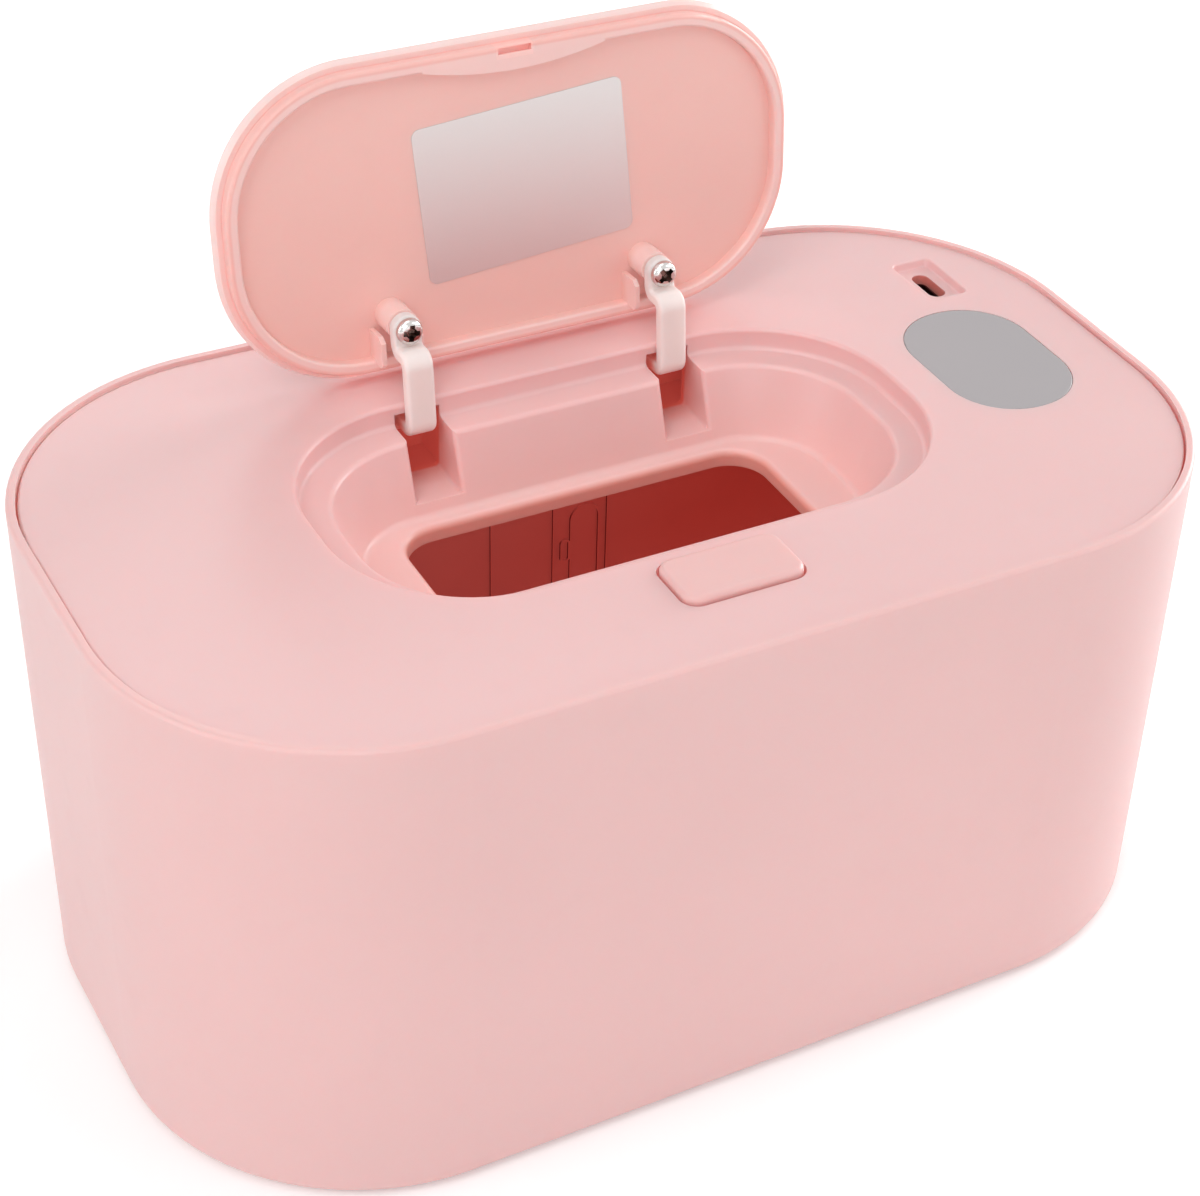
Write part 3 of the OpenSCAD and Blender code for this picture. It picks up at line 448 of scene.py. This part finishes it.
def hub_shade_and_glow(finish):
    """Share of the painted shade and glow, a red, on the arms' ends inside the pockets."""
    away, up = finish.along("Y") - HINGE_AT.y, finish.along("Z") - HINGE_AT.z
    return finish.spread((away * away + up * up).math("SQRT"), 7.5 * MM, 5.5 * MM)


def groove_shade(finish):
    """Share of the painted shade, a deeper colour, in the groove inside the lid's edge."""
    closed = finish.closed_lid()
    across = finish.inside(LID_OUTLINE, closed) - LID_GROOVE
    groove = finish.spread(across.math("ABSOLUTE"), 0.7 * MM, 0.3 * MM)
    return groove * finish.depth(0.5 * MM, 1 * MM, closed)


def lid_edge_highlight(finish):
    """Share of the painted highlight, a paler colour, on the lid's thin outer edge."""
    return finish.spread(finish.inside(LID_OUTLINE, finish.closed_lid()), 0.9 * MM, 0.3 * MM)


def lid_top(finish):
    """Share of the cover's colour on the lid: all of its outer face."""
    return finish.depth(0.9 * MM, 0.3 * MM, finish.closed_lid())


def shaded_within_rim(finish):
    """Share of the painted shade, a deeper colour, on the lid: all of its inner face, as far as its
    rim.
    """
    closed = finish.closed_lid()
    inner = finish.spread(finish.inside(LID_OUTLINE, closed), LID_RIM - 0.5 * MM, LID_RIM)
    under = finish.depth(0.8 * MM, 1.6 * MM, closed)
    return inner * under * finish.depth(4.5 * MM, 2.6 * MM, closed)


def lid_foot_glow(finish):
    """Share of the painted glow on the lid's narrow edge beside the hinge, which stands in its own
    shade.
    """
    closed = finish.closed_lid()
    behind = LID_OUTLINE[1] / 2
    back = finish.spread(finish.along("Y", closed), behind - 1.4 * MM, behind - 0.9 * MM)
    return back * finish.between("Z", COVER_TOP - 2 * MM, COVER_TOP - 0.2 * MM, 0.3 * MM, closed)


def lid_slit(finish):
    """Share of the painted glow inside the slit that the latch's hook reaches through."""
    closed = finish.closed_lid()
    there = finish.between("X", -SLIT_HALF, SLIT_HALF, 0.2 * MM, closed)
    there = there * finish.between("Y", SLIT_AT - 1.1 * MM, SLIT_AT + 1.1 * MM, 0.2 * MM, closed)
    return there * finish.depth(0.6 * MM, 1 * MM, closed)


def lid_gaps(finish):
    """Share of the painted glow in the lid's slit and on its foot."""
    return lid_slit(finish) * 0.12 + lid_foot_glow(finish) * 0.35


def closed_box(node):
    """The corners of a solid on the lid as the lid lies closed."""
    back = OPENED.inverted()
    points = [back @ vertex.co for vertex in NODES[node].data.vertices]
    return [Vector(pick(point[axis] for point in points) for axis in range(3)) for pick in (min, max)]


def colour_field(name, description, *channels):
    """A colour of the panel, given as it is seen on a screen."""
    return FloatVectorProperty(
        name=name, description=description, subtype="COLOR", default=screen_colour(*channels)
    )


def length_field(name, description, millimetres):
    """A length of the panel."""
    return FloatProperty(
        name=name, description=description, unit="LENGTH", default=millimetres * MM
    )


def angle_field(name, description, degrees):
    """An angle of the panel."""
    return FloatProperty(
        name=name, description=description, unit="ROTATION", default=math.radians(degrees)
    )


class WarmerColours(bpy.types.PropertyGroup):
    """Colours of the warmer's finishes, of its painted shade, bounce light, highlights and
    reflection, and of the painted glow that stands in for the light seeping through its thin walls.
    """

    shell: colour_field("Tub", "Colour of the outer shell", 239, 195, 193)
    cover: colour_field("Cover", "Colour of the top cover", 240, 195, 194)
    button: colour_field("Button", "Colour of the release button", 240, 192, 189)
    # painted bounce light: a paler, pinker colour that grows with depth in the well
    well: colour_field("Well", "Colour of the cover's well, where pink light gathers", 254, 203, 199)
    # painted shade: the warmer colour at the back of the arms' slots
    slot: colour_field("Slots", "Colour at the back of the slots for the arms", 242, 176, 168)
    # painted shade in the hinge pockets; the lid's painted glow takes this colour too
    painted_pocket_red: colour_field("Pockets", "Colour of the hinge pockets", 217, 100, 86)
    # painted glow: an emission in pockets and gaps that stands in for light seeping through
    pocket_glow: colour_field("Pocket glow", "Light that seeps into pockets and gaps", 89, 41, 36)
    # painted shade: a deeper red on the wall of the opening
    opening: colour_field("Opening", "Colour of the opening's wall", 243, 174, 162)
    # painted shade: the red inside the hole that the plug goes through
    inlet_shade: colour_field("Inlet", "Colour inside the hole that the plug goes through", 222, 142, 132)
    # painted light: the paler colour in the gap round the cover, at the back
    rim: colour_field("Back rim", "Colour in the gap round the cover, at the back", 255, 230, 227)
    lid: colour_field("Lid", "Colour of the flip lid", 251, 213, 208)
    # painted shade: the deeper colour of the lid's inner face, inside its rim
    lid_inside_shade: colour_field("Lid inside", "Colour of the flip lid's inner face", 247, 202, 194)
    # painted shade: the deeper colour in the lid's groove
    groove_shade: colour_field("Lid groove", "Colour of the groove inside the lid's edge", 248, 194, 186)
    # painted highlight: the paler colour on the lid's thin outer edge
    lid_edge_highlight: colour_field("Lid edge", "Colour of the lid's thin outer edge", 252, 222, 218)
    # painted shade: the red on the arms' ends in the pockets
    hub_shade_and_glow: colour_field("Arm hubs", "Colour of the arms' ends in the pockets", 236, 172, 162)
    arms: colour_field("Arms", "Colour of the lid's nylon arms", 246, 233, 229)
    tank: colour_field("Tank", "Colour of the inner tank", 232, 140, 128)
    # painted shade: the dark colour on the narrow sides of the tank's ribs
    rib_side_shade: colour_field("Tank, ribs", "Colour of the narrow sides of the tank's ribs", 150, 52, 44)
    # painted glow: emission in the tank, redder towards its right end
    tank_glow: colour_field("Tank glow, left", "Light that seeps into the tank's left end", 80, 44, 42)
    tank_glow_right: colour_field(
        "Tank glow, right", "Light that seeps into the tank's right end", 79, 25, 21
    )
    window: colour_field("Window", "Colour of the display window", 170, 165, 167)
    label: colour_field("Sticker", "Colour of the sticker at its upper edge", 221, 220, 219)
    # painted reflection: the pink of the cover, reflected at the sticker's lower edge
    label_low_reflection: colour_field("Sticker, low", "Colour of the sticker at its lower edge", 220, 195, 194)


class StickerSizes(bpy.types.PropertyGroup):
    """Sizes of the bare sticker inside the lid."""

    width: length_field("Width", "Length of the sticker along the lid", 43.9)
    height: length_field("Height", "Height of the sticker", 31.6)
    corner: length_field("Corner", "Corner radius of the sticker", 1.7)
    thickness: length_field("Thickness", "Thickness of the sticker", 0.12)
    right: length_field("Right", "How far its middle is right of the lid's middle", 2.3)
    front: length_field("Forward", "How far its middle is in front of the lid's middle", 1.8)
    tilt: angle_field("Tilt", "How far it was stuck on askew", 4.3)


class ScrewSizes(bpy.types.PropertyGroup):
    """Sizes of the pan-head screws; their heads' radius comes from the solids."""

    head_height: length_field("Head", "Height of the head", 1.9)
    crown: length_field("Crown", "How far the head's edge lies below its top", 0.3)
    edge: length_field("Edge", "Rounding of the head's upper edge", 1.0)
    shank: length_field("Shank", "Radius of the shank", 1.25)
    cross: length_field("Cross", "Length of the cross recess's arms, tip to tip", 4.0)
    blade: length_field("Arm width", "Width of the cross recess's arms", 1.2)
    recess: length_field("Recess", "Depth of the cross recess", 1.5)


class StudioSizes(bpy.types.PropertyGroup):
    """The camera, the even light and the floor."""

    camera: FloatVectorProperty(
        name="Camera", description="Where the camera stands", subtype="XYZ", unit="LENGTH",
        default=(-201.9 * MM, -371.4 * MM, 377.1 * MM),
    )
    azimuth: angle_field("Azimuth", "Direction of the view round the vertical", -31.71)
    elevation: angle_field("Elevation", "How steeply the camera looks down", 37.99)
    roll: angle_field("Roll", "Turn of the camera about its view", 3.825)
    lens: FloatProperty(
        name="Lens", description="Focal length on a 36 mm sensor, in millimetres", default=80.18
    )
    shift_right: FloatProperty(
        name="Shift right", description="Shift of the lens, as a share of the width", default=-0.1083
    )
    shift_up: FloatProperty(
        name="Shift up", description="Shift of the lens, as a share of the width", default=0.0859
    )
    world: FloatProperty(
        name="World", description="Strength of the even light from all round", default=0.29
    )
    floor_white: FloatProperty(
        name="Floor", description="How much whiter the floor looks than its light makes it",
        default=0.2,
    )


class WARMER_OT_stage(bpy.types.Operator):
    """Sets up the floor, the even light, the lamps and the camera"""

    bl_idname = "warmer.stage"
    bl_label = "Studio"

    def execute(self, context):
        sizes = context.scene.warmer_studio
        context.scene.view_settings.view_transform = "Standard"
        self.make_floor(sizes.floor_white)
        self.light_world(context, sizes.world)
        for lamp in LAMPS:
            self.hang_lamp(*lamp)
        self.place_camera(context, sizes)
        return {"FINISHED"}

    def make_floor(self, lift):
        """A pale floor that fades to plain white away from the warmer."""
        mesh = bmesh.new()
        bmesh.ops.create_grid(mesh, x_segments=1, y_segments=1, size=FLOOR_HALF)
        data = bpy.data.meshes.new("floor")
        mesh.to_mesh(data)
        mesh.free()
        floor = bpy.data.objects.new("floor", data)
        finish = Finish("pale_floor", Roughness=0.7, Specular_IOR_Level=0.2, Emission_Strength=1)
        cloud = finish.spread(finish.noise(0.4, 2), 0.3, 0.7)
        white = screen_colour(250, 249, 249)
        finish.feed("Base Color", finish.blend(cloud, white, tint(white, 0.985)))
        x, y = finish.along("X"), finish.along("Y")
        far = finish.spread((x * x + y * y).math("SQRT"), *FLOOR_FADE)
        shine = finish.blend(far, (lift, lift, lift), (1, 1, 1))
        finish.feed("Emission Color", finish.blend(finish.seen(), BLACK, shine))
        data.materials.append(finish.material)
        bpy.context.scene.collection.objects.link(floor)

    def light_world(self, context, strength):
        """An even grey that lights the object, and white where the camera or a reflection sees it."""
        world = bpy.data.worlds.new("studio")
        world.use_nodes = True
        graph = Graph(world.node_tree)
        glow = graph.node("ShaderNodeMapRange", None, {"Value": graph.seen(), "To Min": strength})
        background = graph.tree.nodes["Background"].inputs
        graph.tree.links.new(glow.socket, background["Strength"])
        background["Color"].default_value = (1, 1, 1, 1)
        context.scene.world = world

    def hang_lamp(self, name, place, size, power):
        """A round lamp that points at the warmer."""
        data = bpy.data.lights.new(name, "AREA")
        data.shape = "DISK"
        data.size = size
        data.energy = power
        lamp = bpy.data.objects.new(name, data)
        lamp.location = place
        aim = LAMP_AIM - lamp.location
        lamp.rotation_euler = aim.to_track_quat("-Z", "Y").to_euler()
        bpy.context.scene.collection.objects.link(lamp)

    def place_camera(self, context, sizes):
        """The camera, from where it stands and how its view turns, dips and rolls."""
        data = bpy.data.cameras.new("camera")
        data.lens = sizes.lens
        data.sensor_width = 36
        data.shift_x = sizes.shift_right
        data.shift_y = sizes.shift_up
        data.clip_start = 0.01
        camera = bpy.data.objects.new("camera", data)
        around, down = sizes.azimuth, sizes.elevation
        level = math.cos(down)
        back = Vector((math.sin(around) * level, -math.cos(around) * level, math.sin(down)))
        right = Vector((math.cos(around), math.sin(around), 0))
        up = back.cross(right)
        turn, lean = math.cos(sizes.roll), math.sin(sizes.roll)
        across = turn * right + lean * up
        upward = turn * up - lean * right
        facing_back = Matrix((across, upward, back)).transposed().to_4x4()
        camera.matrix_world = Matrix.Translation(sizes.camera) @ facing_back
        context.scene.collection.objects.link(camera)
        context.scene.camera = camera


class WARMER_OT_mouldings(bpy.types.Operator):
    """Finishes the pink mouldings"""

    bl_idname = "warmer.mouldings"
    bl_label = "Pink mouldings"

    def execute(self, context):
        colours = context.scene.warmer_colours
        # painted light in the seam at the back; the other zones paint shade and bounce light
        rim = (colours.rim, back_seam_light)
        zones = (
            (colours.well, painted_well_light), (colours.opening, opening), (colours.inlet_shade, painted_socket_hole),
            (colours.slot, slots), (colours.painted_pocket_red, pockets), rim,
        )
        # the cover, the tub and the button take painted glow in their pockets, holes and gaps
        glow = glowing(colours.pocket_glow, cover_gaps)
        cover = moulded("cover_plastic", colours.cover, 0.33, zones=zones, glow=glow, **SOFT)
        paint(cover, "top_cover")
        glow = glowing(colours.pocket_glow, seam)
        shell = moulded("shell_plastic", colours.shell, 0.4, zones=(rim,), glow=glow, **SOFT)
        paint(shell, "outer_shell")
        glow = glowing(colours.pocket_glow, button_gap)
        paint(moulded("button_plastic", colours.button, 0.33, glow=glow, **SOFT), "release_button")
        # painted shade inside the rim and in the groove, a painted highlight on the edge; the outer
        # face takes the cover's own colour
        zones = (
            (colours.lid_inside_shade, shaded_within_rim), (colours.groove_shade, groove_shade),
            (colours.lid_edge_highlight, lid_edge_highlight), (colours.cover, lid_top),
        )
        # painted glow in the lid's slit and on its foot, in the pockets' red
        glow = glowing(colours.painted_pocket_red, lid_gaps)
        paint(moulded("lid_plastic", colours.lid, 0.3, zones=zones, glow=glow, **THIN), "flip_lid")
        self.finish_tank(colours)
        return {"FINISHED"}

    def finish_tank(self, colours):
        """The tank takes a painted glow, a deeper red towards its right end, but not on its ribs'
        narrow sides, which take a painted shade.
        """

        def glow(finish):
            """The painted light at a point of the tank."""
            right = finish.spread(finish.along("X"), -45 * MM, 45 * MM)
            red = finish.blend(right, colours.tank_glow, colours.tank_glow_right)
            return finish.blend(facing(finish), BLACK, red)

        # painted shade on the ribs' narrow sides
        zones = ((colours.rib_side_shade, lambda finish: 1 - facing(finish)),)
        paint(moulded("tank_plastic", colours.tank, 0.34, zones=zones, glow=glow), "inner_tank")


class WARMER_OT_fittings(bpy.types.Operator):
    """Finishes the arms, the window, the feet, the metal parts and what lies inside"""

    bl_idname = "warmer.fittings"
    bl_label = "Fittings"

    def execute(self, context):
        colours = context.scene.warmer_colours
        # painted shade and glow on the arms' ends in the pockets
        zones = ((colours.hub_shade_and_glow, hub_shade_and_glow),)
        glow = glowing(colours.pocket_glow, hub_shade_and_glow)
        nylon = moulded("nylon", colours.arms, 0.38, zones=zones, glow=glow, **MILKY)
        paint(nylon, "hinge_arm_left", "hinge_arm_right", "latch_lever")
        paint(moulded("window_acrylic", colours.window, 0.3, relief=0.004), "display_window")
        rubber = moulded("foot_rubber", screen_colour(214, 210, 206), 0.75, 0.6 * MM, 0.03)
        paint(rubber, "foot_front_left", "foot_front_right", "foot_back_left", "foot_back_right")
        for node, name, colour, roughness in PLASTICS:
            paint(moulded(name, screen_colour(*colour), roughness), node)
        for name, colour, roughness, nodes in METALS:
            paint(metal(name, screen_colour(*colour), roughness), *nodes)
        return {"FINISHED"}


class WARMER_OT_screws(bpy.types.Operator):
    """Makes the two plated pan-head screws that hold the lid on its arms"""

    bl_idname = "warmer.screws"
    bl_label = "Arm screws"

    def execute(self, context):
        sizes = context.scene.warmer_screws
        plate = metal("screw_plate", screen_colour(214, 210, 208), 0.1)
        # painted shade: a darker metal on the faces of the cross recess
        shade = metal("screw_recess_shade", screen_colour(136, 120, 114), 0.18)
        for side, turn in SCREW_TURNS.items():
            solid = "arm_screw_" + side
            low, high = closed_box(solid)
            middle = (low + high) / 2
            place = OPENED @ Matrix.Translation((middle.x, middle.y, low.z))
            place = place @ Matrix.Rotation(math.radians(turn), 4, "Z")
            radius = (high.x - low.x) / 2
            head = self.head(sizes, radius, high.z - low.z)
            piece = self.cut_recess(side, head, self.cross(sizes), plate, shade)
            piece.transform(place)
            mesh = bmesh.new()
            mesh.from_mesh(piece)
            made = as_piece("pan_head_screw_" + side, mesh, "lid", plate)
            made.data.materials.append(shade)
            made.data.set_sharp_from_angle(angle=math.radians(32))
            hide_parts(solid)
        return {"FINISHED"}

    def head(self, sizes, radius, length):
        """The head and shank, its head's top at height 0, turned from a rounded profile."""
        corners = (
            (0, 0), (radius, sizes.crown), (radius, sizes.head_height),
            (sizes.shank, sizes.head_height), (sizes.shank, length), (0, length),
        )
        mesh = bmesh.new()
        points = [mesh.verts.new((across, 0, up)) for across, up in corners]
        for pair in zip(points, points[1:]):
            mesh.edges.new(pair)
        for corner, offset, steps in ((points[1], sizes.edge, 7), (points[2], 0.2 * MM, 2)):
            bmesh.ops.bevel(
                mesh, geom=[corner], offset=offset, affect="VERTICES",
                segments=steps, profile=0.5, material=-1,
            )
        bmesh.ops.spin(
            mesh, geom=mesh.verts[:] + mesh.edges[:], cent=(0, 0, 0), axis=(0, 0, 1),
            angle=2 * math.pi, steps=56, use_merge=True,
        )
        bmesh.ops.remove_doubles(mesh, verts=mesh.verts, dist=0.001 * MM)
        bmesh.ops.recalc_face_normals(mesh, faces=mesh.faces)
        return mesh

    def cross(self, sizes):
        """The tool that sinks the cross: two tapered blades and a cone."""
        mesh = bmesh.new()
        over = 0.6 * MM
        for turn in (0, math.pi / 2):
            made = bmesh.ops.create_cube(mesh, size=1)["verts"]
            for vertex in made:
                deep = vertex.co.z > 0
                reach, width = CROSS_FOOT if deep else (1.0, 1.0)
                vertex.co.x *= sizes.cross * reach
                vertex.co.y *= sizes.blade * width
                vertex.co.z = sizes.recess if deep else -over
            bmesh.ops.rotate(mesh, verts=made, cent=(0, 0, 0), matrix=Matrix.Rotation(turn, 3, "Z"))
        wide, narrow = CROSS_CONE
        bottom = sizes.recess + 0.1 * MM
        bmesh.ops.create_cone(
            mesh, cap_ends=True, segments=20, radius1=sizes.cross * wide,
            radius2=sizes.cross * narrow, depth=over + bottom,
            matrix=Matrix.Translation((0, 0, (bottom - over) / 2)),
        )
        bmesh.ops.recalc_face_normals(mesh, faces=mesh.faces)
        return mesh

    def cut_recess(self, side, head, cross, plate, shade):
        """Sinks the cross into the head and gives the mesh."""
        objects = []
        for name, mesh, material in (("head", head, plate), ("cross", cross, shade)):
            data = bpy.data.meshes.new(name + "_" + side)
            mesh.to_mesh(data)
            mesh.free()
            data.materials.append(material)
            made = bpy.data.objects.new(name + "_" + side, data)
            bpy.context.scene.collection.objects.link(made)
            objects.append(made)
        body, tool = objects
        sink = body.modifiers.new("recess", "BOOLEAN")
        sink.object = tool
        sink.operation = "DIFFERENCE"
        sink.solver = "EXACT"
        sink.material_mode = "TRANSFER"
        sink.use_self = True
        bpy.context.view_layer.update()
        evaluated = body.evaluated_get(bpy.context.evaluated_depsgraph_get())
        shape = bpy.data.meshes.new_from_object(evaluated)
        for made in objects:
            bpy.data.objects.remove(made)
        return shape


class WARMER_OT_sticker(bpy.types.Operator):
    """Makes the bare silver sticker inside the lid"""

    bl_idname = "warmer.sticker"
    bl_label = "Sticker"

    def execute(self, context):
        sizes = context.scene.warmer_sticker
        colours = context.scene.warmer_colours
        finish = Finish("sticker_foil", Metallic=0.45)
        grain = finish.noise(0.25 * MM, 3, 0.7)
        middle = HINGE_AT.z + HINGE_AT.y + sizes.front  # its height with the lid open
        top, bottom = middle + sizes.height / 2, middle - sizes.height / 2
        # a painted pink reflection grows towards the sticker's lower edge
        reflection_share = finish.spread(finish.along("Z"), top, bottom)
        colour = finish.blend(reflection_share, tint(colours.label, 0.98), tint(colours.label_low_reflection, 0.98))
        light = finish.blend(reflection_share, tint(colours.label, 1.02), tint(colours.label_low_reflection, 1.02))
        finish.feed("Base Color", finish.blend(grain, colour, light))
        finish.feed("Roughness", 0.36 + grain * 0.08)
        finish.feed("Normal", finish.bump(finish.noise(6 * MM, 2), 0.1, 0.1 * MM))
        mesh = rounded_plate(sizes.width, sizes.height, sizes.corner, sizes.thickness)
        under_lid = Matrix.Translation((sizes.right, -sizes.front, COVER_TOP - LID_THICKNESS))
        face_down = Matrix.Rotation(math.pi, 4, "X")
        askew = Matrix.Rotation(sizes.tilt, 4, "Z")
        bmesh.ops.transform(mesh, matrix=OPENED @ under_lid @ face_down @ askew, verts=mesh.verts)
        as_piece("lid_sticker", mesh, "lid", finish.material, smooth=False)
        return {"FINISHED"}


class WARMER_PT_panel(bpy.types.Panel):
    """Lists the steps that dress the warmer"""

    bl_idname = "WARMER_PT_panel"
    bl_label = "Wipe Warmer"
    bl_space_type = "VIEW_3D"
    bl_region_type = "UI"
    bl_category = "Wipe Warmer"

    def draw(self, context):
        for step in STEPS:
            self.layout.operator(step.bl_idname)
        for group in GROUPS:
            values = getattr(context.scene, group)
            box = self.layout.box()
            for name in values.__annotations__:
                box.prop(values, name)


STEPS = (
    WARMER_OT_stage,
    WARMER_OT_mouldings,
    WARMER_OT_fittings,
    WARMER_OT_screws,
    WARMER_OT_sticker,
)
GROUPS = {
    "warmer_colours": WarmerColours,
    "warmer_screws": ScrewSizes,
    "warmer_sticker": StickerSizes,
    "warmer_studio": StudioSizes,
}
CLASSES = (*GROUPS.values(), *STEPS, WARMER_PT_panel)


def register():
    for made in CLASSES:
        bpy.utils.register_class(made)
    for name, group in GROUPS.items():
        setattr(bpy.types.Scene, name, PointerProperty(type=group))


def unregister():
    for name in GROUPS:
        delattr(bpy.types.Scene, name)
    for made in reversed(CLASSES):
        bpy.utils.unregister_class(made)


def main():
    register()
    for name in ("Cube", "Light", "Camera"):
        if name in bpy.data.objects:
            bpy.data.objects.remove(bpy.data.objects[name])
    for step in STEPS:
        group, call = step.bl_idname.split(".")
        getattr(getattr(bpy.ops, group), call)()


if __name__ == "__main__":
    main()
